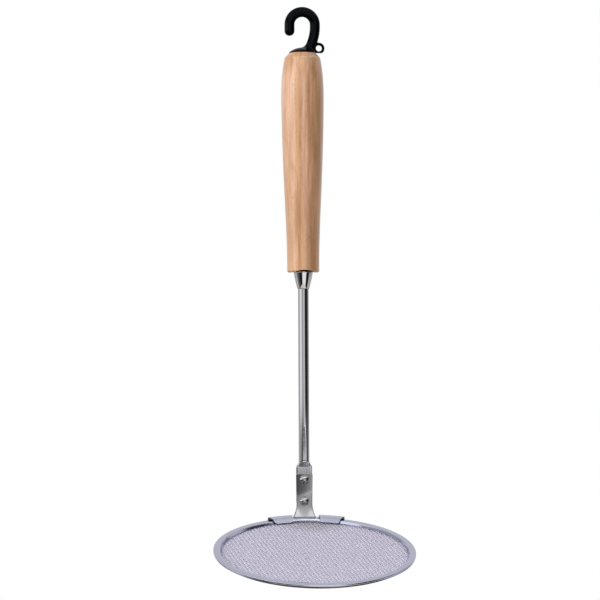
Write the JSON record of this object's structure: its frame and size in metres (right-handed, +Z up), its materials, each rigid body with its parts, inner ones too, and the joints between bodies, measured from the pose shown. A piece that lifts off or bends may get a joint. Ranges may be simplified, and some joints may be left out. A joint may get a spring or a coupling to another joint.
{
  "type": "skimmer",
  "caption": "Round flat fine-mesh skimmer with a folded rim, riveted steel neck, tube stem, tapered wooden handle and moulded hanging hook.",
  "frame": {"origin": "the hook's bearing point: the top of the inside of its throat, on the handle's axis", "axes": "+Z up along the handle as the skimmer hangs, +X across the hook and the dish, the dish leans out towards -Y"},
  "size_m": [0.11, 0.1208, 0.3162],
  "materials": {
    "black_plastic": "glossy moulded plastic",
    "beech": "sanded, clear-lacquered beech",
    "polished_steel": "mirror-polished stainless steel",
    "satin_steel": "satin stainless sheet",
    "rivet_steel": "bright domed rivet",
    "wire_cloth": "bright woven stainless wire"
  },
  "bodies": {
    "root": {"hanging_hook": "black_plastic", "wooden_handle": "beech", "ferrule": "polished_steel", "handle_tube": "polished_steel", "neck_bracket": "satin_steel", "upper_rivet": "rivet_steel", "lower_rivet": "rivet_steel", "rim": "satin_steel", "mesh": "wire_cloth"}
  },
  "joints": []
}
